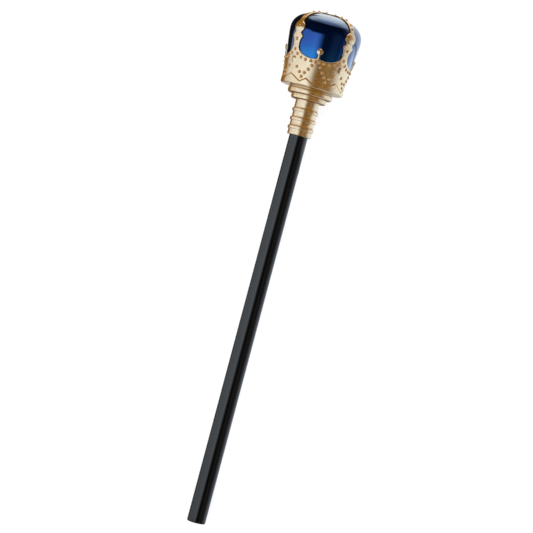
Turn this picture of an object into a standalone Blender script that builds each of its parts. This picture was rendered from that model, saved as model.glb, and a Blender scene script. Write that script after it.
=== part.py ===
"""A costume king's sceptre, lying down.

A plain black rod carries a gold turned neck, and on the neck sits a gold crown:
a cup with four arches that meet over the top, closed by a blue domed cap.
Each piece is turned or cut upright along its own +Z, with the rod's end at 0,
and one empty lays the whole thing down with its head towards +Y.
"""
import bpy
import bmesh
from math import sin, cos, asin, pi, radians, degrees, hypot
from mathutils import Vector, Matrix
from mathutils.geometry import tessellate_polygon

# ---------------------------------------------------------------- sizes, in mm
MM = 0.001
GAP = 0.3                 # clearance between neighbouring pieces

ROD_R = 8.9
ROD_EDGE = 0.9            # rounding of the rod's free end
ROD_PLUG = 28.0           # how far the rod goes up into the neck

NECK_Z = 378.6            # lower end of the neck
NECK_R = 11.4
FOOT_R = 11.5             # the neck below its first ring
RING_R = 12.6
RINGS = (383.8, 392.4, 400.8)          # where each ring starts
RING_H = 3.1
DISC_Z = (412.5, 417.8, 422.8, 425.3)  # small disc, large disc, top disc, end
DISC_R = (17.0, 21.5, 20.6)
SPIGOT_R = 12.0
SPIGOT_H = 1.9

CROWN_Z = 425.6           # underside of the crown
FLOOR_H = 2.2
SHELL = 1.0               # thickness of the arches
WALL = 1.35               # thickness of the cup
# outer radius of the cup at heights above its underside
CUP = ((0.0, 29.75), (6.7, 30.2), (14.3, 30.75), (21.9, 31.65), (24.8, 32.15), (27.0, 32.75))

CAP_R = 34.44             # widest radius of the cap
CAP_WIDE_Z = 477.85       # height of the widest place
CAP_TOP = 19.65           # from there to the top
CAP_POWER = 2.45          # roundness of the dome, 2 being an ellipse
CAP_TAPER = 0.13          # how fast the cap narrows below its widest place
CAP_BEND = 2.85           # over what height that taper sets in

ARCHES = (45, 135, 225, 315)           # degrees from the front
PANELS = (0, 90, 180, 270)
BAND_HALF = 2.75          # half width of an arch over the dome
MED_Z = 478.3             # centre of the medallion on each arch
MED_PLATE = (6.55, 5.7)   # half width and half height of its plate
MED_DOME = (5.6, 4.8, 1.5)    # the same of the dome on it, and how far that rises
BOSS_Z = 447.5            # small boss at the foot of each arch
BOSS = (2.9, 3.1, 0.9)
LENS_BACK = 0.5           # how deep a dome or boss is sunk into the wall
BALL_Z = 458.9            # round knob of the fleuron in the middle of each panel
BALL_R = 3.05
STEM_HALF = 0.95

# half of a window's edge: degrees from the panel's middle, height in mm
SILL = ((1.65, 452.4), (4.0, 452.05), (8.0, 451.65), (13.5, 451.45), (19.0, 451.8), (24.0, 452.6),
        (29.0, 453.7), (33.2, 455.2), (36.4, 457.4), (38.2, 460.0))
SIDE = ((38.5, 462.8), (38.0, 465.2), (36.4, 467.6), (33.9, 469.6))
NOTCH = ((36.5, 471.3), (38.6, 472.9))

STEPS = 44                # facets round the crown and cap
NECK_STEPS = 28
ROD_STEPS = 32
DOME_STEPS = 10           # steps down the dome, and from there to the cup
SIDE_STEPS = 4

FLAT = 0.25               # depth of the flat spot that the cap lies on
END_FLAT = 0.2            # the same under the rod's end


# ------------------------------------------------------------------- profiles
def hermite(stations, at):
    """Smooth curve through (position, value) stations."""
    n = len(stations)
    slopes = []
    for i in range(n):
        a, b = stations[max(i - 1, 0)], stations[min(i + 1, n - 1)]
        slopes.append((b[1] - a[1]) / (b[0] - a[0]))
    for i in range(n - 1):
        (x0, y0), (x1, y1) = stations[i], stations[i + 1]
        if at <= x1 or i == n - 2:
            h = x1 - x0
            t = min(max((at - x0) / h, 0.0), 1.0)
            return ((2 * t**3 - 3 * t**2 + 1) * y0 + (t**3 - 2 * t**2 + t) * h * slopes[i]
                    + (3 * t**2 - 2 * t**3) * y1 + (t**3 - t**2) * h * slopes[i + 1])


def cap_radius(z):
    """Radius of the blue cap at height z."""
    if z >= CAP_WIDE_Z:
        f = min((z - CAP_WIDE_Z) / CAP_TOP, 1.0)
        return CAP_R * (1 - f**CAP_POWER) ** (1 / CAP_POWER)
    x = CAP_WIDE_Z - z
    return CAP_R - CAP_TAPER * (hypot(x, CAP_BEND) - CAP_BEND)


def dome(offset, low, top_steps, side_steps):
    """The cap's outline from its top down to height low, moved out by offset."""
    pts = []
    for i in range(top_steps + 1):
        u = (pi / 2) * (1 - i / top_steps)
        r = CAP_R * max(cos(u), 0.0) ** (2 / CAP_POWER)
        z = CAP_WIDE_Z + CAP_TOP * sin(u) ** (2 / CAP_POWER)
        pts.append((r if i else 0.0, z))
    for i in range(1, side_steps + 1):
        z = CAP_WIDE_Z + (low - CAP_WIDE_Z) * i / side_steps
        pts.append((cap_radius(z), z))
    if offset == 0.0:
        return pts
    moved = []
    for i, (r, z) in enumerate(pts):
        a, b = pts[max(i - 1, 0)], pts[min(i + 1, len(pts) - 1)]
        if i == 0:
            moved.append((0.0, z + offset))
            continue
        d = Vector((b[0] - a[0], b[1] - a[1])).normalized()
        moved.append((r - d.y * offset, z + d.x * offset))
    return moved


def cup_radius(z):
    return hermite(CUP, z - CROWN_Z)


RIM_Z = CROWN_Z + CUP[-1][0]

# -------------------------------------------------------------------- helpers
for old in list(bpy.data.objects):
    bpy.data.objects.remove(old, do_unlink=True)

parts = bpy.data.collections.new("Sceptre")
tools = bpy.data.collections.new("Cutters")
bpy.context.scene.collection.children.link(parts)
bpy.context.scene.collection.children.link(tools)


def material(name, colour, rough, metal):
    mat = bpy.data.materials.new(name)
    mat.use_nodes = True
    bsdf = mat.node_tree.nodes["Principled BSDF"]
    bsdf.inputs["Base Color"].default_value = (*colour, 1)
    bsdf.inputs["Roughness"].default_value = rough
    bsdf.inputs["Metallic"].default_value = metal
    return mat


GOLD = material("gold", (0.78, 0.55, 0.27), 0.34, 1.0)
NECK_GOLD = material("neck_gold", (0.78, 0.55, 0.27), 0.34, 1.0)
BLACK = material("black", (0.012, 0.013, 0.015), 0.14, 0.0)
BLUE = material("blue", (0.01, 0.07, 0.36), 0.08, 0.6)


def finish(name, mesh, mat, collection):
    """Clean the mesh, shade it smooth and put it in an object of its own."""
    bm = bmesh.new()
    bm.from_mesh(mesh)
    bmesh.ops.remove_doubles(bm, verts=bm.verts, dist=2e-6)
    bmesh.ops.dissolve_degenerate(bm, dist=2e-6, edges=bm.edges)
    bm.to_mesh(mesh)
    bm.free()
    mesh.materials.clear()
    if mat:
        mesh.materials.append(mat)
    for p in mesh.polygons:
        p.material_index = 0
    mesh.shade_smooth()
    mesh.set_sharp_from_angle(angle=radians(32))
    ob = bpy.data.objects.new(name, mesh)
    collection.objects.link(ob)
    return ob


def evaluated(ob):
    """The object's mesh with its modifiers applied, in its own coordinates."""
    bpy.context.view_layer.update()
    dg = bpy.context.evaluated_depsgraph_get()
    return bpy.data.meshes.new_from_object(ob.evaluated_get(dg))


def turned(name, profile, steps, mat, collection, ring=False):
    """Solid of revolution: (radius, height) points in mm, down the outside first."""
    mesh = bpy.data.meshes.new(name + "_profile")
    edges = [(i, i + 1) for i in range(len(profile) - 1)]
    if ring:
        edges.append((len(profile) - 1, 0))
    mesh.from_pydata([(r * MM, 0, z * MM) for r, z in profile], edges, [])
    ob = bpy.data.objects.new(name + "_profile", mesh)
    collection.objects.link(ob)
    mod = ob.modifiers.new("turn", "SCREW")
    mod.axis = "Z"
    mod.steps = mod.render_steps = steps
    mod.use_merge_vertices = True
    mod.merge_threshold = 0.00001
    out = evaluated(ob)
    bpy.data.objects.remove(ob, do_unlink=True)
    return finish(name, out, mat, collection)


def as_cutter(ob):
    ob.hide_render = True
    ob.display_type = "WIRE"
    return ob


def boolean(ob, other, operation):
    mod = ob.modifiers.new(operation.lower() + "_" + other.name, "BOOLEAN")
    mod.operation = operation
    mod.solver = "EXACT"
    mod.object = other
    return mod


def joined(name, bodies, collection):
    """Several separate closed bodies, given as bmeshes, in one tool object."""
    mesh = bpy.data.meshes.new(name)
    whole = bmesh.new()
    for body in bodies:
        tmp = bpy.data.meshes.new("tmp")
        body.to_mesh(tmp)
        body.free()
        whole.from_mesh(tmp)
        bpy.data.meshes.remove(tmp)
    bmesh.ops.recalc_face_normals(whole, faces=whole.faces)
    whole.to_mesh(mesh)
    whole.free()
    ob = bpy.data.objects.new(name, mesh)
    collection.objects.link(ob)
    return as_cutter(ob)


def wrapped(x, depth, z):
    """A flat point, x round the front, depth from the axis: front is -Y."""
    return (depth * sin(x), -depth * cos(x), z)


def outline_body(points, r_in, r_out, turn):
    """Closed outline of (angle, z) extruded from r_in to r_out and wrapped round the axis."""
    bm = bmesh.new()
    flat = tessellate_polygon([[Vector((a * 35.0, z, 0.0)) for a, z in points]])
    lower = [bm.verts.new(Vector(wrapped(a + turn, r_in, z)) * MM) for a, z in points]
    upper = [bm.verts.new(Vector(wrapped(a + turn, r_out, z)) * MM) for a, z in points]
    n = len(points)
    for tri in flat:
        bm.faces.new([lower[i] for i in tri])
        bm.faces.new([upper[i] for i in tri])
    for i in range(n):
        bm.faces.new((lower[i], lower[(i + 1) % n], upper[(i + 1) % n], upper[i]))
    return bm


def lens(width, height, rise, middle, turn, surface, u, v):
    """A flattened sphere bent onto the wall whose outer radius is surface(z), sunk in by its back half."""
    bm = bmesh.new()
    bmesh.ops.create_uvsphere(bm, u_segments=u, v_segments=v, radius=1.0)
    r0 = surface(middle)
    for vert in bm.verts:
        x, y, up = vert.co
        z = middle + height * y
        r = surface(z) + (rise if up > 0 else LENS_BACK) * up
        vert.co = Vector(wrapped(width * x / r0 + turn, r, z)) * MM
    return bm


# ------------------------------------------------------------------- the rest
# The sceptre lies on the cap's widest place and on the rod's free end.
HEAD_DROP = CAP_R - FLAT
TAIL_DROP = ROD_R - END_FLAT
LEAN = asin((HEAD_DROP - TAIL_DROP) / (CAP_WIDE_Z - ROD_EDGE))
FAR_Z = CAP_WIDE_Z + CAP_TOP + GAP + SHELL
LIFT = TAIL_DROP * cos(LEAN) - ROD_EDGE * sin(LEAN)
Y_LOW = -(ROD_R - ROD_EDGE) * sin(LEAN)
Y_HIGH = FAR_Z * cos(LEAN) + 0.19      # laid down, the far side of the dome is a little past its pole

stand = bpy.data.objects.new("laid_down", None)
parts.objects.link(stand)
stand.rotation_euler = (-(pi / 2 - LEAN), 0, 0)
stand.location = (0, -(Y_LOW + Y_HIGH) / 2 * MM, LIFT * MM)

# ------------------------------------------------------------------------ rod
rod_profile = [(0.0, NECK_Z + ROD_PLUG), (ROD_R - 0.6, NECK_Z + ROD_PLUG), (ROD_R, NECK_Z + ROD_PLUG - 0.6)]
for i in range(5):
    a = (pi / 2) * i / 4
    rod_profile.append((ROD_R - ROD_EDGE * (1 - cos(a)), ROD_EDGE * (1 - sin(a))))
rod_profile.append((0.0, 0.0))
rod = turned("rod", rod_profile, ROD_STEPS, BLACK, parts)


# ----------------------------------------------------------------------- neck
def bead_edge(r_root, r_out, z0, z1, soft, count):
    """The outside of a ring or disc from z1 down to z0, its edge rounded by soft."""
    pts = [(r_root, z1)] if r_root < r_out - soft else []
    for i in range(count):
        a = (pi / 2) * (1 - i / (count - 1))
        pts.append((r_out - soft * (1 - cos(a)), z1 - soft * (1 - sin(a))))
    for i in range(count):
        a = (pi / 2) * i / (count - 1)
        pts.append((r_out - soft * (1 - cos(a)), z0 + soft * (1 - sin(a))))
    if r_root < r_out - soft:
        pts.append((r_root, z0))
    return pts


d0, d1, d2, d3 = DISC_Z
neck_profile = [(0.0, d3 + SPIGOT_H), (SPIGOT_R, d3 + SPIGOT_H), (SPIGOT_R, d3)]
neck_profile += [(DISC_R[2] - 0.4, d3), (DISC_R[2], d3 - 0.4), (DISC_R[2], d2)]
neck_profile += bead_edge(99, DISC_R[1], d1, d2, 1.5, 3)
neck_profile += [(DISC_R[0], d1), (DISC_R[0], d0 + 1.3), (DISC_R[0] - 0.4, d0 + 0.4), (DISC_R[0] - 1.3, d0)]
neck_profile += [(NECK_R, d0)]
for z in reversed(RINGS):
    neck_profile += bead_edge(NECK_R, RING_R, z, z + RING_H, 0.7, 2)
neck_profile += [(FOOT_R, RINGS[0] - 0.01), (FOOT_R, NECK_Z + 0.4), (FOOT_R - 0.4, NECK_Z)]
bore = ROD_R + GAP
neck_profile += [(bore, NECK_Z), (bore, NECK_Z + ROD_PLUG + GAP), (0.0, NECK_Z + ROD_PLUG + GAP)]
clean = []
for p in neck_profile:
    if not clean or hypot(p[0] - clean[-1][0], p[1] - clean[-1][1]) > 0.05:
        clean.append(p)
neck = turned("neck", clean, NECK_STEPS, NECK_GOLD, parts)

# ------------------------------------------------------------------------ cap
IN_LOW = RIM_Z - 4.6       # below the rim the cap steps in, to fit inside the cup
cap_profile = dome(0.0, RIM_Z - 0.6, DOME_STEPS, SIDE_STEPS)
for i in range(4):
    z = IN_LOW + (CROWN_Z + FLOOR_H + GAP + 0.8 - IN_LOW) * i / 3
    cap_profile.append((cup_radius(z) - WALL - GAP, z))
foot_r = cap_profile[-1][0]
cap_profile += [(foot_r - 0.8, CROWN_Z + FLOOR_H + GAP), (0.0, CROWN_Z + FLOOR_H + GAP)]
cap = turned("cap", cap_profile, STEPS, BLUE, parts)

# ---------------------------------------------------------------------- crown
shell_profile = dome(GAP + SHELL, RIM_Z, DOME_STEPS, SIDE_STEPS)
shell_profile[-1] = (cup_radius(RIM_Z), RIM_Z)
for i in range(1, 7):
    z = RIM_Z + (CROWN_Z + 0.5 - RIM_Z) * i / 6
    shell_profile.append((cup_radius(z), z))
shell_profile += [(CUP[0][1] - 0.5, CROWN_Z)]
hole = SPIGOT_R + GAP
shell_profile += [(hole, CROWN_Z), (hole, CROWN_Z + FLOOR_H)]
shell_profile += [(foot_r + GAP - 0.8, CROWN_Z + FLOOR_H)]
for i in reversed(range(4)):
    z = IN_LOW + (CROWN_Z + FLOOR_H + GAP + 0.8 - IN_LOW) * i / 3
    shell_profile.append((cup_radius(z) - WALL, z))
shell_profile += [p for p in reversed(dome(GAP, RIM_Z - 0.6, DOME_STEPS, SIDE_STEPS))]
crown = turned("crown", shell_profile, STEPS, GOLD, parts)


# The window's edge runs round the fleuron's knob, down its stem, along the sill
# and up the arch, and its other half mirrors that.
half = []
reach = pi - asin(STEM_HALF / BALL_R)
for i in range(7):
    a = reach * i / 6
    half.append((degrees(BALL_R * sin(a) / (cap_radius(BALL_Z) + GAP + SHELL / 2)), BALL_Z + BALL_R * cos(a)))
half += list(SILL + SIDE + NOTCH)
for i in range(8):
    a = radians(-50 + 112 * i / 7)
    z = MED_Z + MED_PLATE[1] * sin(a)
    half.append((45 - degrees(MED_PLATE[0] * cos(a) / (CAP_R + GAP + SHELL)), z))
half.append((45 - degrees(BAND_HALF * 1.03 / (CAP_R + GAP + SHELL)), 484.4))
window = [(radians(a), z) for a, z in half] + [(-radians(a), z) for a, z in reversed(half[1:])]
windows = joined("windows", [outline_body(window, 24.0, 60.0, radians(t)) for t in PANELS], tools)

# Over the dome each opening is a quarter sector between two arches.
sector = []
lip = 484.0
for t in PANELS:
    bm = bmesh.new()
    near = BAND_HALF * 2**0.5
    far = 60.0
    corners = [(0, near), (far, near + far), (-far, near + far)]
    low = [bm.verts.new((x * MM, -y * MM, lip * MM)) for x, y in corners]
    high = [bm.verts.new((x * MM, -y * MM, 510 * MM)) for x, y in corners]
    bm.faces.new(low)
    bm.faces.new(high)
    for i in range(3):
        bm.faces.new((low[i], low[(i + 1) % 3], high[(i + 1) % 3], high[i]))
    bm.transform(Matrix.Rotation(radians(t), 4, "Z"))
    sector.append(bm)
sectors = joined("dome_sectors", sector, tools)


def shell_radius(z):
    return cap_radius(z) + GAP + SHELL


domes = joined("medallions", [lens(*MED_DOME, MED_Z, radians(t), shell_radius, 16, 8) for t in ARCHES], tools)
bosses = joined("bosses", [lens(*BOSS, BOSS_Z, radians(t), cup_radius, 10, 6) for t in ARCHES], tools)

boolean(crown, domes, "UNION")
boolean(crown, bosses, "UNION")
boolean(crown, windows, "DIFFERENCE")
boolean(crown, sectors, "DIFFERENCE")

# -------------------------------------------------------------------- laid down
for ob in (rod, neck, cap, crown, windows, sectors, domes, bosses):
    ob.parent = stand

bm = bmesh.new()
bmesh.ops.create_cube(bm, size=1.0)
bm.transform(Matrix.Translation((0, 0, -0.02)) @ Matrix.Diagonal((0.2, 0.8, 0.04, 1)))
ground = joined("ground", [bm], tools)
for ob in (rod, cap, crown):
    boolean(ob, ground, "DIFFERENCE")
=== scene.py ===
from math import sin, cos, asin, acos, pi, radians, degrees, hypot, tan

import bmesh
import bpy
import numpy as np
from mathutils import Matrix, Vector


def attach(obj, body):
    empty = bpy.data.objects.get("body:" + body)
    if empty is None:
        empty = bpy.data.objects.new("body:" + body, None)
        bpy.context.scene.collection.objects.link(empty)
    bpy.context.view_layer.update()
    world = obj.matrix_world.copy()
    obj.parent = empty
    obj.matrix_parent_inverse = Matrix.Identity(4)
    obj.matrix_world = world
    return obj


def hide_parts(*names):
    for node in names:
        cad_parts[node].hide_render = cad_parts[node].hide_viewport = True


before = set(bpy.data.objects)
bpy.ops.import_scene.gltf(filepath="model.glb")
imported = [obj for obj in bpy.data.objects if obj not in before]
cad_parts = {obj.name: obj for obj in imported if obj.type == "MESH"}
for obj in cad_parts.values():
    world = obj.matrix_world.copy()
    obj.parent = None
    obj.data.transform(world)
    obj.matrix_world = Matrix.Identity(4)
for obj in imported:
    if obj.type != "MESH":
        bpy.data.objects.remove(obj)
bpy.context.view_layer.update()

MM = 0.001

# ------------------------------------------------------------------ sizes (mm)
# Upright, axis +Z, the rod's free end at 0, the front towards -Y.
GAP = 0.3
ROD_R, ROD_EDGE, ROD_PLUG = 8.9, 0.9, 28.0
NECK_Z, NECK_R, FOOT_R, RING_R = 379.6, 11.4, 11.5, 12.6
RINGS, RING_H = (384.9, 393.2, 401.9), 3.1
DISC_Z = (413.6, 418.3, 423.1, 425.3)
DISC_R = (17.0, 21.5, 20.6)
SPIGOT_R, SPIGOT_H = 12.0, 1.9
CROWN_Z, FLOOR_H, SHELL, WALL = 425.6, 2.2, 1.0, 1.35
CUP = ((0.0, 29.75), (6.7, 30.2), (14.3, 30.75), (21.9, 31.65), (24.8, 32.15), (27.0, 32.75))
RIM_Z = CROWN_Z + CUP[-1][0]
IN_LOW = RIM_Z - 4.6
CAP_R, CAP_WIDE_Z, CAP_TOP, CAP_POWER = 34.44, 477.85, 19.65, 2.45
CAP_TAPER, CAP_BEND = 0.13, 2.85
BAND_HALF = 2.75
MED_Z, MED_PLATE, MED_DOME = 478.3, (6.55, 5.7), (5.9, 5.15, 1.2)
BOSS_Z, BOSS = 447.5, (2.9, 3.1, 0.9)
BALL_Z, BALL_R, STEM_HALF = 458.9, 3.05, 0.95
FLAT, END_FLAT = 0.25, 0.2

# half of a window's edge: degrees from the panel's middle, height
SILL = ((1.65, 452.4), (4.0, 452.05), (8.0, 451.65), (13.5, 451.45), (19.0, 451.8), (24.0, 452.6),
        (29.0, 453.7), (33.2, 455.2), (36.4, 457.4), (38.2, 460.0))
SIDE = ((38.5, 462.8), (38.0, 465.2), (36.4, 467.6), (33.9, 469.6))
NOTCH = ((36.5, 471.3), (38.6, 472.9))
LIP_Z = 484.4

# beads: degrees from the panel's middle, height
BEADS = ((4.0, 449.0), (11.5, 448.9), (21.5, 449.1), (30.5, 450.3), (38.5, 453.0),
         (22.5, 432.8), (18.2, 436.8), (12.8, 440.7), (8.0, 444.9), (28.0, 436.8), (35.5, 441.1),
         (45.0, 456.9), (45.0, 466.6))
SHOULDER_BEADS = (33.1, 29.5, 22.4, 15.6, 6.2)      # on each arch, distance from the axis
BEAD_R, BEAD_SINK = 1.30, 0.20
# the cup's raised lower band ends in a zigzag: degrees, height
ZIGZAG = ((0.0, 428.0), (12.8, 432.1), (23.5, 428.3), (43.8, 434.05), (45.0, 434.1))
ZIG_STEP = 0.42

HEAD_DROP, TAIL_DROP = CAP_R - FLAT, ROD_R - END_FLAT
LEAN = asin((HEAD_DROP - TAIL_DROP) / (CAP_WIDE_Z - ROD_EDGE))
FAR_Z = CAP_WIDE_Z + CAP_TOP + GAP + SHELL
LIFT = TAIL_DROP * cos(LEAN) - ROD_EDGE * sin(LEAN)
SHIFT = -(-(ROD_R - ROD_EDGE) * sin(LEAN) + FAR_Z * cos(LEAN) + 0.19) / 2
LAID = Matrix.Translation((0, SHIFT, LIFT)) @ Matrix.Rotation(-(pi / 2 - LEAN), 4, "X")
TO_FRAME = Matrix.Scale(MM, 4) @ LAID


def height_above_ground(x, y, z):
    return -y * cos(LEAN) + z * sin(LEAN) + LIFT


# ------------------------------------------------------------------- profiles
def hermite(stations, at):
    """Smooth curve through (position, value) stations, for an array."""
    xs = np.array([s[0] for s in stations])
    ys = np.array([s[1] for s in stations])
    n = len(xs)
    slope = np.array([(ys[min(i + 1, n - 1)] - ys[max(i - 1, 0)]) / (xs[min(i + 1, n - 1)] - xs[max(i - 1, 0)])
                      for i in range(n)])
    at = np.asarray(at, float)
    i = np.clip(np.searchsorted(xs, at) - 1, 0, n - 2)
    h = xs[i + 1] - xs[i]
    t = np.clip((at - xs[i]) / h, 0, 1)
    return ((2 * t**3 - 3 * t**2 + 1) * ys[i] + (t**3 - 2 * t**2 + t) * h * slope[i]
            + (3 * t**2 - 2 * t**3) * ys[i + 1] + (t**3 - t**2) * h * slope[i + 1])


def cup_radius(z):
    return hermite(CUP, np.asarray(z, float) - CROWN_Z)


def cap_radius(z):
    z = np.asarray(z, float)
    f = np.clip((z - CAP_WIDE_Z) / CAP_TOP, 0, 1)
    x = np.maximum(CAP_WIDE_Z - z, 0)
    return np.where(z >= CAP_WIDE_Z, CAP_R * (1 - f**CAP_POWER) ** (1 / CAP_POWER),
                    CAP_R - CAP_TAPER * (np.hypot(x, CAP_BEND) - CAP_BEND))


def dome(offset, low, top_steps, side_steps):
    """Outline of the cap from its top down to height low, moved out by offset: rows of (radius, height)."""
    u = (pi / 2) * (1 - np.arange(top_steps + 1) / top_steps)
    r = CAP_R * np.maximum(np.cos(u), 0) ** (2 / CAP_POWER)
    z = CAP_WIDE_Z + CAP_TOP * np.sin(u) ** (2 / CAP_POWER)
    r[0] = 0
    zs = CAP_WIDE_Z + (low - CAP_WIDE_Z) * np.arange(1, side_steps + 1) / side_steps
    p = np.stack([np.concatenate([r, cap_radius(zs)]), np.concatenate([z, zs])], 1)
    d = np.gradient(p, axis=0)
    d[0] = (1, 0)
    d /= np.linalg.norm(d, axis=1)[:, None]
    return p + offset * np.stack([-d[:, 1], d[:, 0]], 1)


def arc(cx, cz, r, a0, a1, n):
    """Points of an arc, angles in degrees from outwards, anticlockwise."""
    a = np.radians(np.linspace(a0, a1, n))
    return np.stack([cx + r * np.cos(a), cz + r * np.sin(a)], 1)


def polygon_distance(points, px, py):
    """Signed distance to a closed outline, negative inside."""
    p = np.asarray(points, float)
    q = np.roll(p, -1, axis=0)
    best = np.full(px.shape, 1e9)
    inside = np.zeros(px.shape, bool)
    for (ax, ay), (bx, by) in zip(p, q):
        ex, ey = bx - ax, by - ay
        wx, wy = px - ax, py - ay
        t = np.clip((wx * ex + wy * ey) / (ex * ex + ey * ey + 1e-12), 0, 1)
        best = np.minimum(best, (wx - ex * t) ** 2 + (wy - ey * t) ** 2)
        if ay != by:
            crosses = (ay > py) != (by > py)
            inside ^= crosses & (px < ax + (py - ay) * ex / (by - ay))
    best = np.sqrt(best)
    return np.where(inside, -best, best)


class Table:
    """A function of two numbers, sampled on a fine lattice and read smoothly between."""

    def __init__(self, x0, x1, y0, y1, step, fn):
        self.x0, self.y0, self.step = x0, y0, step
        xs = np.arange(x0, x1 + step, step)
        ys = np.arange(y0, y1 + step, step)
        gx, gy = np.meshgrid(xs, ys, indexing="ij")
        self.v = fn(gx, gy)

    def __call__(self, x, y):
        a = np.clip((x - self.x0) / self.step, 0, self.v.shape[0] - 1.001)
        b = np.clip((y - self.y0) / self.step, 0, self.v.shape[1] - 1.001)
        i, j = a.astype(np.int32), b.astype(np.int32)
        a, b = a - i, b - j
        v = self.v
        return ((v[i, j] * (1 - a) + v[i + 1, j] * a) * (1 - b)
                + (v[i, j + 1] * (1 - a) + v[i + 1, j + 1] * a) * b)


def smooth_min(a, b, k):
    h = np.maximum(k - np.abs(a - b), 0) / k
    return np.minimum(a, b) - h * h * k * 0.25


def smooth_max(a, b, k):
    return -smooth_min(-a, -b, k)


def spline(points, per):
    """Catmull-Rom through the points."""
    p = np.array(points, float)
    p = np.vstack([2 * p[0] - p[1], p, 2 * p[-1] - p[-2]])
    out = []
    for i in range(1, len(p) - 2):
        for j in range(per):
            t = j / per
            out.append(0.5 * (2 * p[i] + (p[i + 1] - p[i - 1]) * t
                              + (2 * p[i - 1] - 5 * p[i] + 4 * p[i + 1] - p[i + 2]) * t * t
                              + (3 * p[i] - p[i - 1] - 3 * p[i + 1] + p[i + 2]) * t**3))
    out.append(p[-2])
    return np.array(out)


# ------------------------------------------------------- the crown as a field
# Distances are worked out on the folded eighth, 0 to 45 degrees from a panel's middle to an arch.
outer_line = dome(GAP + SHELL, RIM_Z + 0.3, 60, 40)
outer_line = np.vstack([outer_line,
                        np.stack([cup_radius(z := np.linspace(RIM_Z - 0.5, CROWN_Z + 0.9, 40)), z], 1),
                        arc(cup_radius(CROWN_Z) - 0.8, CROWN_Z + 0.8, 0.8, 0, -90, 8),
                        [(0.0, CROWN_Z)]])
outer_field = Table(-1, 42, 420, 503, 0.1,
                    lambda r, z: polygon_distance(np.vstack([outer_line, [(-6, CROWN_Z), (-6, outer_line[0, 1])]]), r, z))

in_z = np.linspace(IN_LOW, CROWN_Z + FLOOR_H + GAP + 0.8, 4)
foot_r = float(cup_radius(in_z[-1]) - WALL)
inner_line = np.vstack([dome(GAP, RIM_Z - 0.6, 60, 40),
                        np.stack([cup_radius(z := np.linspace(IN_LOW, in_z[-1], 30)) - WALL, z], 1),
                        [(foot_r - 0.8, CROWN_Z + FLOOR_H), (SPIGOT_R + GAP, CROWN_Z + FLOOR_H),
                         (SPIGOT_R + GAP, CROWN_Z - 6), (-6, CROWN_Z - 6), (-6, 497.8)]])
inner_field = Table(-1, 42, 420, 503, 0.1, lambda r, z: polygon_distance(inner_line, r, z))


def wall_radius(z):
    """Middle of the wall's thickness, for measuring along it."""
    z = np.asarray(z, float)
    return np.where(z > RIM_Z, cap_radius(np.minimum(z, 486.0)) + GAP + SHELL / 2, cup_radius(z) - WALL / 2)


reach = pi - asin(STEM_HALF / BALL_R)
knob_arc = [(degrees(BALL_R * sin(a) / float(wall_radius(BALL_Z))), BALL_Z + BALL_R * cos(a))
            for a in np.linspace(0, reach, 28)]
half = knob_arc + [(1.6, 455.2), (1.66, 453.6)]
half += list(spline(((2.1, 452.75), *SILL[1:], *SIDE), 6))
half += list(NOTCH)
lip_r = float(wall_radius(MED_Z))
for a in np.radians(np.linspace(-50, 60, 26)):
    half.append((45 - degrees(MED_PLATE[0] * cos(a) / lip_r), MED_Z + MED_PLATE[1] * sin(a)))
edge_angle = 45 - degrees(BAND_HALF / float(wall_radius(LIP_Z)))
half += [(edge_angle, LIP_Z), (edge_angle, 540.0), (-20.0, 540.0), (-20.0, BALL_Z + BALL_R)]
half = np.array(half)


def window_fn(a, z):
    """Distance to the opening's edge, measured along the wall, negative in the opening."""
    r = wall_radius(z)
    best = np.full(a.shape, 1e9)
    inside = np.zeros(a.shape, bool)
    k = np.radians(1.0) * r
    q = np.roll(half, -1, axis=0)
    for (ax, ay), (bx, by) in zip(half, q):
        ux, uy = (bx - ax) * k, by - ay
        wx, wy = (a - ax) * k, z - ay
        t = np.clip((wx * ux + wy * uy) / (ux * ux + uy * uy + 1e-12), 0, 1)
        best = np.minimum(best, (wx - ux * t) ** 2 + (wy - uy * t) ** 2)
        if ay != by:
            inside ^= ((ay > z) != (by > z)) & (a < ax + (z - ay) * (bx - ax) / (by - ay))
    best = np.sqrt(best)
    return np.where(inside, -best, best)


window_field = Table(-1.0, 46.0, 444.0, 490.0, 0.1, window_fn)


def zigzag_fn(a, z):
    """Distance above the zigzag, along the wall, negative below it."""
    k = np.radians(1.0) * 30.4
    best = np.full(a.shape, 1e9)
    line = np.array(ZIGZAG)
    line = np.vstack([[(-line[1, 0], line[1, 1])], line, [(90 - line[-2, 0], line[-2, 1])]])
    for (ax, ay), (bx, by) in zip(line[:-1], line[1:]):
        ux, uy = (bx - ax) * k, by - ay
        wx, wy = (a - ax) * k, z - ay
        t = np.clip((wx * ux + wy * uy) / (ux * ux + uy * uy), 0, 1)
        best = np.minimum(best, (wx - ux * t) ** 2 + (wy - uy * t) ** 2)
    level = np.interp(a, line[:, 0], line[:, 1])
    return np.where(z > level, 1, -1) * np.sqrt(best)


zigzag_field = Table(-1.0, 46.0, 424.0, 442.0, 0.1, zigzag_fn)


def surface_point(angle, z):
    """A point of the outer surface at a height, and the outward normal, folded coordinates. The angle, in degrees, is
    not used.
    """
    r = float(cup_radius(z)) if z <= RIM_Z else float(np.interp(-z, -outer_line[:, 1], outer_line[:, 0]))
    e = 0.2
    r2 = float(cup_radius(z + e)) if z <= RIM_Z else float(np.interp(-(z + e), -outer_line[:, 1], outer_line[:, 0]))
    n = Vector((e, -(r2 - r))).normalized()
    return r, z, n


def placed(angle, r, z):
    a = radians(angle)
    return np.array((r * sin(a), -r * cos(a), z))


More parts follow.
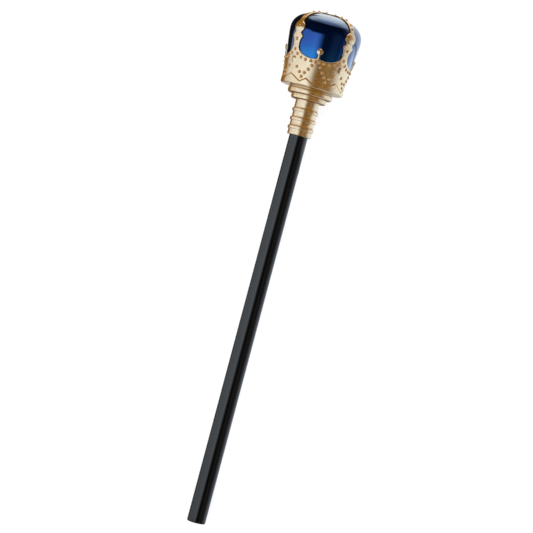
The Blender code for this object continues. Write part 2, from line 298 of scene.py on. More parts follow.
bead_spots = []
for angle, z in BEADS:
    r, z, n = surface_point(angle, z)
    bead_spots.append(placed(angle, r - BEAD_SINK * n.x, z - BEAD_SINK * n.y))
for r in SHOULDER_BEADS:
    z = float(np.interp(r, outer_line[:61, 0], outer_line[:61, 1]))
    i = int(np.searchsorted(outer_line[:61, 0], r))
    d = outer_line[i] - outer_line[i - 1]
    n = Vector((-d[1], d[0])).normalized()
    bead_spots.append(placed(45.0, r - BEAD_SINK * n.x, z - BEAD_SINK * n.y))


def ellipsoid(u, v, h, a, b, c):
    """Roughly the distance to an ellipsoid of half axes a, b, c."""
    k0 = np.sqrt((u / a) ** 2 + (v / b) ** 2 + (h / c) ** 2)
    k1 = np.sqrt((u / a**2) ** 2 + (v / b**2) ** 2 + (h / c**2) ** 2)
    return k0 * (k0 - 1) / np.maximum(k1, 1e-9)


def crown_field(p):
    """Signed distance to the crown, in upright millimetres, negative inside."""
    x, y, z = p[:, 0], p[:, 1], p[:, 2]
    rho = np.hypot(x, y)
    theta = np.degrees(np.arctan2(x, -y))
    fold = np.abs((theta + 45.0) % 90.0 - 45.0)
    outer = outer_field(rho, z)
    out = outer.copy()
    low = z < 440
    if low.any():
        d = zigzag_field(fold[low], z[low])
        s = np.clip(0.5 - d / 1.25, 0, 1)
        out[low] -= ZIG_STEP * s * s * (3 - 2 * s)
    # medallion, boss and knob
    fx, fy = rho * np.sin(np.radians(fold)), -rho * np.cos(np.radians(fold))
    side = rho * np.sin(np.radians(fold - 45.0))
    m = (np.abs(z - MED_Z) < 8) & (fold > 30)
    if m.any():
        bump = ellipsoid(side[m], z[m] - MED_Z, out[m] + 0.3, MED_DOME[0] / 0.965, MED_DOME[1] / 0.965, MED_DOME[2])
        out[m] = smooth_min(out[m], bump, 0.2)
    m = (np.abs(z - BOSS_Z) < 5) & (fold > 35)
    if m.any():
        bump = ellipsoid(side[m], z[m] - BOSS_Z, out[m] + 0.5, BOSS[0] * 1.06, BOSS[1] * 1.06, BOSS[2] + 0.5)
        out[m] = smooth_min(out[m], bump, 0.3)
    m = (np.abs(z - BALL_Z) < 4.5) & (fold < 8)
    if m.any():
        bump = ellipsoid(fx[m], z[m] - BALL_Z, out[m] + 0.9, 2.9, 2.9, 1.7)
        out[m] = smooth_min(out[m], bump, 0.3)
    for cx, cy, cz in bead_spots:
        m = (np.abs(z - cz) < 3) & (np.abs(fx - cx) < 3) & (np.abs(fy - cy) < 3)
        if m.any():
            d = np.sqrt((fx[m] - cx) ** 2 + (fy[m] - cy) ** 2 + (z[m] - cz) ** 2) - BEAD_R
            out[m] = smooth_min(out[m], d, 0.16)
    inner = -inner_field(rho, z)
    solid = smooth_max(out, inner, 0.25)
    # openings: along the wall up to the shoulder, and beside each arch over the dome
    win = window_field(fold, z)
    band = np.abs(side) - BAND_HALF
    t = np.clip((z - (LIP_Z - 1.0)) / 1.0, 0, 1)
    win = win * (1 - t) - band * t
    win = np.where(z < 446, 9.0, win)
    solid = smooth_max(solid, -win, 0.85)
    return np.maximum(solid, -height_above_ground(x, y, z) * 1.0)


def surface_net(fn, low, high, step, near):
    """Closed quad mesh of a field's zero set. near(points) tells which lattice points can matter."""
    axes = [np.arange(low[i], high[i] + step, step) for i in range(3)]
    shape = tuple(len(a) for a in axes)
    field = np.full(shape, 9.0, np.float32)
    gy, gz = np.meshgrid(axes[1], axes[2], indexing="ij")
    for i, x in enumerate(axes[0]):
        pts = np.stack([np.full(gy.size, x), gy.ravel(), gz.ravel()], 1)
        m = near(pts)
        if m.any():
            row = np.full(gy.size, 9.0, np.float32)
            row[m] = fn(pts[m])
            field[i] = row.reshape(gy.shape)
    neg = field < 0
    index = np.full(tuple(s - 1 for s in shape), -1, np.int64)
    total = np.zeros(index.shape + (3,), np.float32)
    count = np.zeros(index.shape, np.int16)
    crossings = []
    for axis in range(3):
        a = [slice(None)] * 3
        b = [slice(None)] * 3
        a[axis], b[axis] = slice(None, -1), slice(1, None)
        fa, fb = field[tuple(a)], field[tuple(b)]
        hit = np.argwhere(neg[tuple(a)] != neg[tuple(b)])
        va = fa[tuple(hit.T)]
        vb = fb[tuple(hit.T)]
        t = va / (va - vb)
        pos = hit.astype(np.float32)
        pos[:, axis] += t
        others = [k for k in range(3) if k != axis]
        cells = []
        for da, db in ((0, 0), (-1, 0), (-1, -1), (0, -1)):
            c = hit.copy()
            c[:, others[0]] += da
            c[:, others[1]] += db
            cells.append(c)
            np.add.at(total, tuple(c.T), pos)
            np.add.at(count, tuple(c.T), 1)
        crossings.append((axis, cells, va < 0))
    used = np.argwhere(count > 0)
    index[tuple(used.T)] = np.arange(len(used))
    verts = total[tuple(used.T)] / count[tuple(used.T)][:, None]
    verts = verts * step + np.array([a[0] for a in axes])
    quads = []
    for axis, cells, inward in crossings:
        q = np.stack([index[tuple(c.T)] for c in cells], 1)
        flip = inward if axis != 1 else ~inward
        q[~flip] = q[~flip][:, ::-1]
        quads.append(q)
    return verts.astype(float), np.vstack(quads)


def gradient(fn, p, e=0.02):
    g = np.empty_like(p)
    for i in range(3):
        d = np.zeros(3)
        d[i] = e
        g[:, i] = (fn(p + d) - fn(p - d)) / (2 * e)
    return g


def near_crown(p):
    rho = np.hypot(p[:, 0], p[:, 1])
    return ((outer_field(rho, p[:, 2]) < 2.6) & (inner_field(rho, p[:, 2]) > -1.6)
            & (height_above_ground(p[:, 0], p[:, 1], p[:, 2]) > -1.0))


STEP = 0.42
verts, quads = surface_net(crown_field, (-37.6, -37.6, 423.9), (37.6, 37.6, 501.2), STEP, near_crown)
for _ in range(3):
    f = crown_field(verts)
    g = gradient(crown_field, verts)
    verts -= np.clip(f / np.maximum((g * g).sum(1), 0.3), -0.15, 0.15)[:, None] * g
# what lies below the ground is flattened onto it exactly
h = height_above_ground(verts[:, 0], verts[:, 1], verts[:, 2])
below = np.minimum(h, 0)
verts[:, 1] += below * cos(LEAN)
verts[:, 2] -= below * sin(LEAN)


def add_mesh(name, verts, faces, smooth=True):
    mesh = bpy.data.meshes.new(name)
    mesh.from_pydata([tuple(v) for v in verts], [], [tuple(f) for f in faces])
    mesh.transform(TO_FRAME)
    if smooth:
        mesh.shade_smooth()
    mesh.validate()
    ob = bpy.data.objects.new(name, mesh)
    bpy.context.scene.collection.objects.link(ob)
    return ob


# each quad is split along its shorter diagonal
d02 = np.linalg.norm(verts[quads[:, 0]] - verts[quads[:, 2]], axis=1)
d13 = np.linalg.norm(verts[quads[:, 1]] - verts[quads[:, 3]], axis=1)
first = d02 <= d13
tris = np.vstack([quads[first][:, [0, 1, 2]], quads[first][:, [0, 2, 3]],
                  quads[~first][:, [0, 1, 3]], quads[~first][:, [1, 2, 3]]])
crown = add_mesh("crown_gold_shell", verts, tris)

# the inside, which the cap fills, needs fewer facets
rho = np.hypot(verts[:, 0], verts[:, 1])
hidden = (inner_field(rho, verts[:, 2]) < 0.25) & (verts[:, 2] < 449) & (verts[:, 2] > CROWN_Z + 1.5)
hidden |= (inner_field(rho, verts[:, 2]) < 0.12) & (window_field(
    np.abs((np.degrees(np.arctan2(verts[:, 0], -verts[:, 1])) + 45) % 90 - 45), verts[:, 2]) > 0.8)
group = crown.vertex_groups.new(name="hidden")
group.add(np.nonzero(hidden)[0].tolist(), 1.0, "REPLACE")
thin = crown.modifiers.new("thin", "DECIMATE")
thin.vertex_group = "hidden"
thin.ratio = 1.0 - 0.88 * float(hidden.mean())
bpy.context.view_layer.update()
lighter = bpy.data.meshes.new_from_object(crown.evaluated_get(bpy.context.evaluated_depsgraph_get()))
crown.modifiers.clear()
crown.data = lighter
crown.vertex_groups.clear()
lighter.shade_smooth()


def triangles(ob):
    return sum(len(p.vertices) - 2 for p in ob.data.polygons)


print("crown triangles", triangles(crown), "from", len(tris))


# ------------------------------------------------------------- turned pieces
def turned(name, profile, steps):
    """Closed solid of revolution from (radius, height) points that start and end on the axis, cut flat at the ground."""
    p = np.array(profile, float)
    keep = [0] + [i for i in range(1, len(p)) if np.hypot(*(p[i] - p[i - 1])) > 1e-3]
    p = p[keep]
    a = 2 * pi * np.arange(steps) / steps
    verts, faces = [(0, 0, p[0, 1])], []
    for r, z in p[1:-1]:
        verts += [(r * sin(t), -r * cos(t), z) for t in a]
    verts.append((0, 0, p[-1, 1]))
    rows = len(p) - 2
    last = len(verts) - 1
    for j in range(steps):
        k = (j + 1) % steps
        faces.append((0, 1 + k, 1 + j))
        for i in range(rows - 1):
            b = 1 + i * steps
            faces.append((b + j, b + k, b + steps + k, b + steps + j))
        b = 1 + (rows - 1) * steps
        faces.append((b + j, b + k, last))
    bm = bmesh.new()
    vs = [bm.verts.new(v) for v in verts]
    for f in faces:
        bm.faces.new([vs[i] for i in f])
    bmesh.ops.recalc_face_normals(bm, faces=bm.faces)
    low = min(height_above_ground(*v) for v in verts)
    if low < -1e-4:
        cut = bmesh.ops.bisect_plane(bm, geom=bm.verts[:] + bm.edges[:] + bm.faces[:], dist=1e-4,
                                     plane_co=(0, LIFT / cos(LEAN), 0), plane_no=(0, cos(LEAN), -sin(LEAN)),
                                     clear_outer=True)
        rim = [e for e in cut["geom_cut"] if isinstance(e, bmesh.types.BMEdge)]
        bmesh.ops.holes_fill(bm, edges=rim, sides=0)
    bmesh.ops.triangulate(bm, faces=[f for f in bm.faces if len(f.verts) > 4])
    mesh = bpy.data.meshes.new(name)
    bm.to_mesh(mesh)
    bm.free()
    mesh.transform(TO_FRAME)
    mesh.shade_smooth()
    mesh.set_sharp_from_angle(angle=radians(40))
    ob = bpy.data.objects.new(name, mesh)
    bpy.context.scene.collection.objects.link(ob)
    return ob


def rounded(points, radii, per=6):
    """A polyline with its corners rounded to the given radii."""
    p = [Vector(q) for q in points]
    out = [p[0]]
    for i in range(1, len(p) - 1):
        r = radii[i]
        a, b = (p[i - 1] - p[i]), (p[i + 1] - p[i])
        if r <= 0:
            out.append(p[i])
            continue
        turn = a.angle(b)
        cut = min(r / tan(turn / 2), a.length * 0.48, b.length * 0.48)
        r = cut * tan(turn / 2)
        a.normalize(), b.normalize()
        centre = p[i] + (a + b).normalized() * (r / sin(turn / 2))
        s, e = p[i] + a * cut - centre, p[i] + b * cut - centre
        sweep = s.angle_signed(e)
        for j in range(per + 1):
            t = sweep * j / per
            out.append(centre + Vector((s.x * cos(-t) - s.y * sin(-t), s.x * sin(-t) + s.y * cos(-t))))
    out.append(p[-1])
    return out


def sampled(line, step):
    """More points along the straight stretches, so that smooth shading stays even."""
    out = [line[0]]
    for a, b in zip(line[:-1], line[1:]):
        a, b = Vector(a), Vector(b)
        n = max(1, int((b - a).length / step))
        out += [a + (b - a) * (j / n) for j in range(1, n + 1)]
    return out


# rod
rod_line = rounded([(0, NECK_Z + ROD_PLUG), (ROD_R, NECK_Z + ROD_PLUG), (ROD_R, 0.0), (0, 0.0)], [0, 0.6, ROD_EDGE, 0], 8)
rod = turned("rod_black_tube", sampled(rod_line, 6.0), 96)

# neck: socket, three rings, small, large and top disc, spigot
d0, d1, d2, d3 = DISC_Z
pts = [(0, d3 + SPIGOT_H), (SPIGOT_R, d3 + SPIGOT_H), (SPIGOT_R, d3),
       (DISC_R[2], d3), (DISC_R[2], d2), (DISC_R[1], d2), (DISC_R[1], d1), (DISC_R[0], d1), (DISC_R[0], d0), (NECK_R, d0)]
rad = [0, 0.3, 0.2, 0.55, 0.3, 1.75, 1.75, 0.35, 1.5, 0.5]
for z in reversed(RINGS):
    pts += [(NECK_R, z + RING_H), (RING_R, z + RING_H), (RING_R, z), (NECK_R, z)]
    rad += [0.25, 1.0, 1.0, 0.25]
pts[-1] = (FOOT_R, RINGS[0])
bore = ROD_R + GAP
pts += [(FOOT_R, NECK_Z), (bore, NECK_Z), (bore, NECK_Z + ROD_PLUG + GAP), (0, NECK_Z + ROD_PLUG + GAP)]
rad += [0.5, 0.25, 0, 0]
neck = turned("neck_gold_turned", sampled(rounded(pts, rad, 6), 1.6), 128)

# cap
cap_line = list(dome(0.0, RIM_Z - 0.6, 64, 22))
z = np.linspace(IN_LOW, CROWN_Z + FLOOR_H + GAP + 0.8, 6)
cap_line += list(np.stack([cup_radius(z) - WALL - GAP, z], 1))
cap_line += [(cap_line[-1][0] - 0.8, CROWN_Z + FLOOR_H + GAP), (0.0, CROWN_Z + FLOOR_H + GAP)]
cap = turned("cap_blue_dome", [Vector(map(float, p)) for p in cap_line], 176)

def upright_points(ob):
    """A piece's points in upright millimetres."""
    at = np.empty(len(ob.data.vertices) * 3)
    ob.data.vertices.foreach_get("co", at)
    back = np.array(TO_FRAME.inverted())
    return at.reshape(-1, 3) @ back[:3, :3].T + back[:3, 3]


# stores the painted crease shade as a level on each point
def mark(ob, values):
    level = ob.data.attributes.new("painted_crease_shade", "FLOAT", "POINT")
    level.data.foreach_set("value", np.clip(values, 0, 1).astype(np.float32))


# painted shade in the creases, shown by letting the dark brown base through: round each bead, along the zigzag, in
# the neck's grooves
p = upright_points(crown)
rho = np.hypot(p[:, 0], p[:, 1])
fold = np.abs((np.degrees(np.arctan2(p[:, 0], -p[:, 1])) + 45.0) % 90.0 - 45.0)
fx, fy = rho * np.sin(np.radians(fold)), -rho * np.cos(np.radians(fold))
nearest = np.full(len(p), 9.0)
for cx, cy, cz in bead_spots:
    nearest = np.minimum(nearest, np.sqrt((fx - cx) ** 2 + (fy - cy) ** 2 + (p[:, 2] - cz) ** 2))
line = np.where((p[:, 2] < 440) & (rho > cup_radius(p[:, 2]) - 0.7), np.abs(zigzag_field(fold, p[:, 2])), 9.0)
mark(crown, np.maximum(1.1 - np.abs(nearest - 1.5) / 0.36, 0.9 - line / 0.7))
# the same painted shade along the neck's disc and ring edges
p = upright_points(neck)
lines = [*DISC_Z, *(z + RING_H for z in RINGS)]
mark(neck, 1.15 - np.min(np.abs(p[:, 2][:, None] - np.array(lines)), axis=1) / 0.55)

for ob, node, slot in ((rod, "rod", "rod_black"), (neck, "neck", "neck_gold"), (crown, "crown", "crown_gold"),
                       (cap, "cap", "cap_blue")):
    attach(ob, "root")
    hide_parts(node)
    print(ob.name, triangles(ob))


# ------------------------------------------------------------------ materials
class Nodes:
    def __init__(self, name):
        self.mat = bpy.data.materials.new(name)
        self.mat.use_nodes = True
        self.t = self.mat.node_tree
        self.bsdf = self.t.nodes["Principled BSDF"]
        self.at = self.add("ShaderNodeTexCoord").outputs["Object"]

    def add(self, kind, **values):
        n = self.t.nodes.new(kind)
        for k, v in values.items():
            setattr(n, k, v)
        return n

    def link(self, a, b):
        self.t.links.new(a, b)

    def noise(self, scale, detail=3.0, rough=0.5, stretch=None):
        n = self.add("ShaderNodeTexNoise")
        n.inputs["Scale"].default_value = scale
        n.inputs["Detail"].default_value = detail
        n.inputs["Roughness"].default_value = rough
        at = self.at
        if stretch:
            m = self.add("ShaderNodeMapping")
            m.inputs["Scale"].default_value = stretch
            self.link(at, m.inputs["Vector"])
            at = m.outputs["Vector"]
        self.link(at, n.inputs["Vector"])
        return n.outputs["Fac"]

    def ramp(self, value, a, b, lo, hi):
        m = self.add("ShaderNodeMapRange")
        self.link(value, m.inputs["Value"])
        m.inputs["From Min"].default_value, m.inputs["From Max"].default_value = a, b
        m.inputs["To Min"].default_value, m.inputs["To Max"].default_value = lo, hi
        return m.outputs["Result"]

    def mix(self, fac, a, b):
        m = self.add("ShaderNodeMix", data_type="RGBA")
        self.link(fac, m.inputs["Factor"]) if not isinstance(fac, float) else setattr(m.inputs["Factor"], "default_value", fac)
        for s, v in (("A", a), ("B", b)):
            sock = [i for i in m.inputs if i.name == s and i.type == "RGBA"][0]
            if isinstance(v, tuple):
                sock.default_value = (*v, 1)
            else:
                self.link(v, sock)
        return [o for o in m.outputs if o.type == "RGBA"][0]

    def bump(self, height, strength, distance, after=None):
        b = self.add("ShaderNodeBump")
        b.inputs["Strength"].default_value = strength
        b.inputs["Distance"].default_value = distance
        self.link(height, b.inputs["Height"])
        if after is not None:
            self.link(after, b.inputs["Normal"])
        return b.outputs["Normal"]


def gold(name):
    """Pale metallised satin film over a tinted base, with a fine grain, and painted shade in the creases where the
    base shows darker.
    """
    n = Nodes(name)
    film = n.bsdf
    film.inputs["Metallic"].default_value = 1.0
    base = n.add("ShaderNodeBsdfPrincipled")
    base.inputs["Roughness"].default_value = 0.55
    base.inputs["Specular IOR Level"].default_value = 0.1
    blend = n.add("ShaderNodeMixShader")
    # painted shade: more of the dark base where the crease shade is marked
    painted_crease_shade = n.add("ShaderNodeAttribute", attribute_name="painted_crease_shade").outputs["Fac"]
    n.link(n.ramp(painted_crease_shade, 0.0, 1.0, 0.20, 0.85), blend.inputs["Fac"])
    n.link(film.outputs["BSDF"], blend.inputs[1])
    n.link(base.outputs["BSDF"], blend.inputs[2])
    n.link(blend.outputs["Shader"], n.t.nodes["Material Output"].inputs["Surface"])
    wide = n.noise(55.0, 4.0, 0.55)
    fine = n.noise(1500.0, 2.0, 0.6)
    spread = n.ramp(wide, 0.35, 0.65, 0.0, 1.0)
    n.link(n.mix(spread, (0.72, 0.67, 0.52), (0.68, 0.63, 0.48)), film.inputs["Base Color"])
    brown = n.mix(spread, (0.50, 0.205, 0.009), (0.44, 0.180, 0.006))
    # the base darkens further there, as painted shade
    n.link(n.mix(painted_crease_shade, brown, (0.080, 0.029, 0.003)), base.inputs["Base Color"])
    n.link(n.ramp(wide, 0.3, 0.7, 0.19, 0.25), film.inputs["Roughness"])
    normal = n.bump(fine, 0.10, 0.0002, n.bump(n.noise(260.0, 3.0, 0.5), 0.06, 0.0006))
    n.link(normal, film.inputs["Normal"])
    n.link(normal, base.inputs["Normal"])
    return n.mat


CROWN_GOLD = gold("crown_gold_satin")
TURNED_GOLD = gold("neck_gold_satin")

n = Nodes("rod_black_gloss")
n.bsdf.inputs["Specular IOR Level"].default_value = 0.62
scratch = n.noise(900.0, 3.0, 0.6, (1.0, 0.02, 1.0))
wide = n.noise(30.0, 3.0, 0.5)
n.link(n.mix(wide, (0.0008, 0.0008, 0.0009), (0.0018, 0.0018, 0.0019)), n.bsdf.inputs["Base Color"])
n.link(n.ramp(wide, 0.3, 0.7, 0.08, 0.13), n.bsdf.inputs["Roughness"])
n.link(n.bump(scratch, 0.04, 0.0002), n.bsdf.inputs["Normal"])
BLACK = n.mat

n = Nodes("cap_blue_lacquer")
n.bsdf.inputs["Metallic"].default_value = 0.97
n.bsdf.inputs["Coat Weight"].default_value = 0.5
n.bsdf.inputs["Coat Roughness"].default_value = 0.03
wide = n.noise(40.0, 3.0, 0.5)
xyz = n.add("ShaderNodeSeparateXYZ")
n.link(n.at, xyz.inputs[0])
# painted shade: the blue darkens from the cap's lower side towards its top, set by height
shade = n.add("ShaderNodeValToRGB")
n.link(n.ramp(xyz.outputs["Y"], 0.2045, 0.2295, 0.0, 1.0), shade.inputs["Fac"])


def stretch(ramp, stops):
    while len(ramp.elements) < len(stops):
        ramp.elements.new(0.5)
    for e, (pos, colour) in zip(ramp.elements, stops):
        e.position, e.color = pos, (*colour, 1)


stretch(shade.color_ramp, ((0.0, (0.001, 0.135, 0.395)), (0.30, (0.003, 0.068, 0.29)), (0.62, (0.004, 0.050, 0.245)),
                           (1.0, (0.005, 0.033, 0.165))))
face = n.add("ShaderNodeLayerWeight")
face.inputs["Blend"].default_value = 0.5
n.link(n.ramp(face.outputs["Facing"], 0.24, 0.40, 0.97, 1.0), n.bsdf.inputs["Metallic"])
# painted sheen: paler where the surface turns away, and more so near the top
painted_side_sheen = n.add("ShaderNodeValToRGB")
n.link(face.outputs["Facing"], painted_side_sheen.inputs["Fac"])
stretch(painted_side_sheen.color_ramp, ((0.0, (0.0, 0.0, 0.0)), (0.24, (0.0, 0.0, 0.0)), (0.46, (0.10, 0.128, 0.25)),
                           (0.55, (0.17, 0.225, 0.36)), (0.68, (0.25, 0.31, 0.43))))
painted_top_sheen = n.add("ShaderNodeValToRGB")
n.link(face.outputs["Facing"], painted_top_sheen.inputs["Fac"])
stretch(painted_top_sheen.color_ramp, ((0.0, (0.003, 0.014, 0.045)), (0.15, (0.008, 0.024, 0.072)), (0.26, (0.030, 0.054, 0.125)),
                           (0.36, (0.15, 0.20, 0.28)), (0.48, (0.25, 0.29, 0.34))))
blue = n.mix(n.ramp(wide, 0.3, 0.7, 0.0, 0.35), shade.outputs["Color"], (0.004, 0.060, 0.268))
blue_with_painted_sheen = n.mix(n.ramp(face.outputs["Facing"], 0.24, 0.44, 0.0, 1.0), blue, painted_side_sheen.outputs["Color"])
# painted reflection of pale light laid over the top of the cap
n.link(n.mix(n.ramp(xyz.outputs["Y"], 0.2300, 0.2340, 0.0, 1.0), blue_with_painted_sheen, painted_top_sheen.outputs["Color"]),
       n.bsdf.inputs["Base Color"])
n.link(n.ramp(wide, 0.3, 0.7, 0.07, 0.11), n.bsdf.inputs["Roughness"])
n.link(n.bump(n.noise(700.0, 2.0, 0.5), 0.01, 0.0002), n.bsdf.inputs["Normal"])
BLUE = n.mat

for ob, mat in ((rod, BLACK), (neck, TURNED_GOLD), (crown, CROWN_GOLD), (cap, BLUE)):
    ob.data.materials.clear()
    ob.data.materials.append(mat)

# --------------------------------------------------------------------- studio
mesh = bpy.data.meshes.new("floor")
mesh.from_pydata([(-6, -6, 0), (6, -6, 0), (6, 6, 0), (-6, 6, 0)], [], [(0, 1, 2, 3)])
floor = bpy.data.objects.new("floor", mesh)
bpy.context.scene.collection.objects.link(floor)
mat = bpy.data.materials.new("floor_white")
mat.use_nodes = True
bsdf = mat.node_tree.nodes["Principled BSDF"]
bsdf.inputs["Base Color"].default_value = (0.2, 0.2, 0.2, 1)
bsdf.inputs["Roughness"].default_value = 0.9
bsdf.inputs["Specular IOR Level"].default_value = 0.0
# a white table that is lit from below too, so that shadows stay faint
bsdf.inputs["Emission Color"].default_value = (1, 1, 1, 1)
bsdf.inputs["Emission Strength"].default_value = 0.76
# seen from below, the floor lets the object's underside show
see = mat.node_tree.nodes.new("ShaderNodeBsdfTransparent")
geo = mat.node_tree.nodes.new("ShaderNodeNewGeometry")
both = mat.node_tree.nodes.new("ShaderNodeMixShader")
out = mat.node_tree.nodes["Material Output"]
mat.node_tree.links.new(geo.outputs["Backfacing"], both.inputs["Fac"])
mat.node_tree.links.new(bsdf.outputs["BSDF"], both.inputs[1])
mat.node_tree.links.new(see.outputs["BSDF"], both.inputs[2])
mat.node_tree.links.new(both.outputs["Shader"], out.inputs["Surface"])
floor.data.materials.append(mat)
floor.visible_glossy = False

# The surroundings: a soft box to the left, a paler screen to the right and one beyond the head, dark between them.
world = bpy.data.worlds.new("studio")
bpy.context.scene.world = world
world.use_nodes = True
t = world.node_tree
for x in list(t.nodes):
    t.nodes.remove(x)


def wmath(op, a, b=None):
    m = t.nodes.new("ShaderNodeMath")
    m.operation = op
    for i, v in enumerate((a, b)):
        if v is None:
            continue
        if isinstance(v, (int, float)):
            m.inputs[i].default_value = v
        else:
            t.links.new(v, m.inputs[i])
    return m.outputs[0]


def step(value, a, b):
    m = t.nodes.new("ShaderNodeMapRange")
    m.interpolation_type = "SMOOTHSTEP"
    t.links.new(value, m.inputs["Value"])
    m.inputs["From Min"].default_value, m.inputs["From Max"].default_value = a, b
    return m.outputs["Result"]


co = t.nodes.new("ShaderNodeTexCoord")
sep = t.nodes.new("ShaderNodeSeparateXYZ")
t.links.new(co.outputs["Generated"], sep.inputs[0])
deg = 180 / pi
azim = wmath("MULTIPLY", wmath("ARCTAN2", sep.outputs["X"], sep.outputs["Z"]), deg)
elev = wmath("MULTIPLY", wmath("ARCSINE", sep.outputs["Y"]), deg)


def clear(value, a, b):
    return wmath("SUBTRACT", 1.0, step(value, a, b))


def over(below, colour, mask):
    """colour laid over what is below, where the mask says. Each is three numbers or a socket."""
    mix = t.nodes.new("ShaderNodeMix")
    mix.data_type = "RGBA"
    t.links.new(mask, mix.inputs["Factor"])
    for sock, v in zip([i for i in mix.inputs if i.type == "RGBA"], (below, colour)):
        if isinstance(v, tuple):
            sock.default_value = (*v, 1)
        else:
            t.links.new(v, sock)
    return [o for o in mix.outputs if o.type == "RGBA"][0]


def times(a, b):
    return wmath("MULTIPLY", a, b)


# dark overhead, a little paler to the right
total = over((0.013, 0.014, 0.017), (0.13, 0.12, 0.10),
             times(times(step(azim, 16, 42), clear(azim, 50, 68)), clear(elev, 2, 14)))
total = over(total, (0.08, 0.085, 0.09), step(azim, 56, 66))
# a little light from beyond the rod's end
total = over(total, (0.17, 0.16, 0.145), clear(elev, -62, -38))
# pale ground and screen to the right, and the ground straight below
total = over(total, (0.72, 0.81, 0.93), step(azim, 66, 114))
total = over(total, (0.62, 0.62, 0.60), step(wmath("ABSOLUTE", azim), 168, 176))
# pale ground and screen beyond the head
behind = step(wmath("ABSOLUTE", azim), 158, 168)
screen = over((1.35, 1.41, 1.47), (0.90, 0.96, 1.04), step(wmath("ABSOLUTE", sep.outputs["X"]), 0.12, 0.40))
total = over(total, screen, wmath("MAXIMUM", step(elev, 50, 58), times(behind, step(elev, 24, 36))))
back = t.nodes.new("ShaderNodeBackground")
t.links.new(total, back.inputs["Color"])
plain = t.nodes.new("ShaderNodeBackground")
plain.inputs["Color"].default_value = (1, 1, 1, 1)
path = t.nodes.new("ShaderNodeLightPath")
pick = t.nodes.new("ShaderNodeMixShader")
t.links.new(path.outputs["Is Camera Ray"], pick.inputs["Fac"])
t.links.new(back.outputs[0], pick.inputs[1])
t.links.new(plain.outputs[0], pick.inputs[2])
world.cycles_visibility.diffuse = False
wout = t.nodes.new("ShaderNodeOutputWorld")
t.links.new(pick.outputs[0], wout.inputs["Surface"])

# A curved soft box close to the left, only for reflections: bright near its upper edge, weaker towards the ground,
# and ending beside the head. A shorter one to the right stands beside the neck and the head.
BOX_R, BOX_TAIL = 0.314, ((-0.365, 0.0), (-0.335, 0.7), (-0.30, 0.87), (-0.2, 0.96), (-0.05, 1.0))
GLOW = ((-168, 0.0), (-142, 0.06), (-128, 0.24), (-120, 0.40), (-112, 0.58), (-105, 0.77), (-95, 0.84), (-85, 0.88),
        (-75, 1.0), (-65, 1.06), (-55, 1.10), (-45, 1.14), (-35, 1.20), (-25, 1.32), (-20, 1.26), (-15, 1.02),
        (-10, 0.72), (-5, 0.33), (1, 0.04), (6, 0.0))
BOX_END = ((-168, 0.10), (-124, 0.10), (-116, 0.22), (-108, 0.239), (-68, 0.239), (-52, 0.228), (-38, 0.203),
           (-22, 0.196), (6, 0.194))
RIGHT_TAIL = ((0.122, 0.0), (0.132, 1.0), (0.16, 1.0))
RIGHT_GLOW = ((50, 0.06), (58, 0.10), (66, 0.26), (74, 0.54), (82, 0.78), (90, 0.95), (100, 1.09), (120, 1.15),
              (140, 1.15), (152, 0.92), (170, 0.78))
RIGHT_END = ((50, 0.232), (170, 0.232))


def curved(name, angles, glow, tail, ends):
    """A bent panel around the sceptre's axis; how bright each place is goes with its points."""
    glow_at, end_at = np.interp(angles, *zip(*glow)), np.interp(angles, *zip(*ends))
    points, faces, values = [], [], []
    for a, g, end in zip(angles, glow_at, end_at):
        for y, k in (*tail, (end - 0.007, 1.0), (end + 0.007, 0.0)):
            points.append((BOX_R * sin(radians(a)), y, 0.026 + BOX_R * cos(radians(a))))
            values.append(g * k)
    rows = len(tail) + 2
    for i in range(len(angles) - 1):
        for j in range(rows - 1):
            b = i * rows + j
            faces.append((b, b + 1, b + rows + 1, b + rows))
    mesh = bpy.data.meshes.new(name)
    mesh.from_pydata(points, [], faces)
    level = mesh.attributes.new("glow", "FLOAT", "POINT")
    level.data.foreach_set("value", np.array(values, np.float32))
    ob = bpy.data.objects.new(name, mesh)
    bpy.context.scene.collection.objects.link(ob)
    ob.visible_camera = False
    ob.visible_diffuse = False
    ob.visible_shadow = False
    ob.visible_transmission = False
    return ob


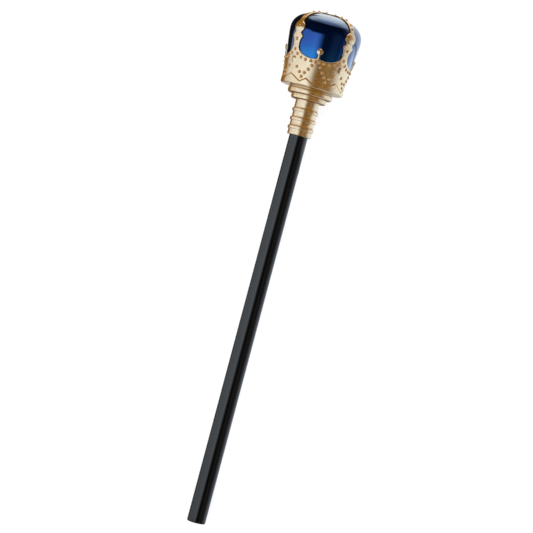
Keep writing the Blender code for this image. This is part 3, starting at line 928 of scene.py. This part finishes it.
boxes = (curved("soft_box", np.arange(-168.0, 6.1, 2.0), GLOW, BOX_TAIL, BOX_END),
         curved("right_box", np.arange(50.0, 170.1, 2.0), RIGHT_GLOW, RIGHT_TAIL, RIGHT_END))
mat = bpy.data.materials.new("soft_box_glow")
mat.use_nodes = True
mat.node_tree.nodes.remove(mat.node_tree.nodes["Principled BSDF"])
shine = mat.node_tree.nodes.new("ShaderNodeEmission")
shine.inputs["Color"].default_value = (0.82, 0.92, 1.0, 1)
read = mat.node_tree.nodes.new("ShaderNodeAttribute")
read.attribute_name = "glow"
gain = mat.node_tree.nodes.new("ShaderNodeMath")
gain.operation = "MULTIPLY"
gain.inputs[1].default_value = 1 / 0.82
mat.node_tree.links.new(read.outputs["Fac"], gain.inputs[0])
mat.node_tree.links.new(gain.outputs[0], shine.inputs["Strength"])
mat.node_tree.links.new(shine.outputs["Emission"], mat.node_tree.nodes["Material Output"].inputs["Surface"])
for box in boxes:
    box.data.materials.append(mat)

# soft light from overhead, and low from the left, the right and beyond the head
for name, place, size, energy in (("overhead", (0, 0, 3.0), (5.0, 5.0), 250.0),
                                  ("left", (-1.5, 0.05, 0.2), (1.4, 0.35), 33.0),
                                  ("right", (1.5, 0.05, 0.2), (1.4, 0.35), 20.0),
                                  ("beyond", (0, 1.7, 0.2), (1.4, 0.35), 60.0)):
    light = bpy.data.lights.new(name, "AREA")
    light.shape, light.size, light.size_y = "RECTANGLE", *size
    light.energy = energy
    lamp = bpy.data.objects.new(name, light)
    lamp.matrix_world = (Matrix.Translation(place)
                         @ (Vector(place) - Vector((0, 0.1, 0.03))).to_track_quat("Z", "Y").to_matrix().to_4x4())
    bpy.context.scene.collection.objects.link(lamp)
    lamp.visible_glossy = False
    lamp.visible_camera = False

# --------------------------------------------------------------------- camera
cam = bpy.data.cameras.new("camera")
cam.sensor_width = 36.0
cam.lens = 148.6
cam.clip_start, cam.clip_end = 0.1, 50.0
eye = bpy.data.objects.new("camera", cam)
# square to the sceptre's own axis, which leans, and a little to its right
AIM, DISTANCE = Vector((0.0023, 0.00285, 0.022)), 2.09
turn = Matrix.Rotation(radians(2.7), 4, "X") @ Matrix.Rotation(radians(1.5), 4, "Y")
eye.matrix_world = (Matrix.Translation(AIM + turn.to_3x3() @ Vector((0, 0, DISTANCE)))
                    @ turn @ Matrix.Rotation(radians(14.92), 4, "Z"))
bpy.context.scene.collection.objects.link(eye)
bpy.context.scene.camera = eye

scene = bpy.context.scene
scene.view_settings.view_transform = "Standard"
scene.view_settings.look = "None"
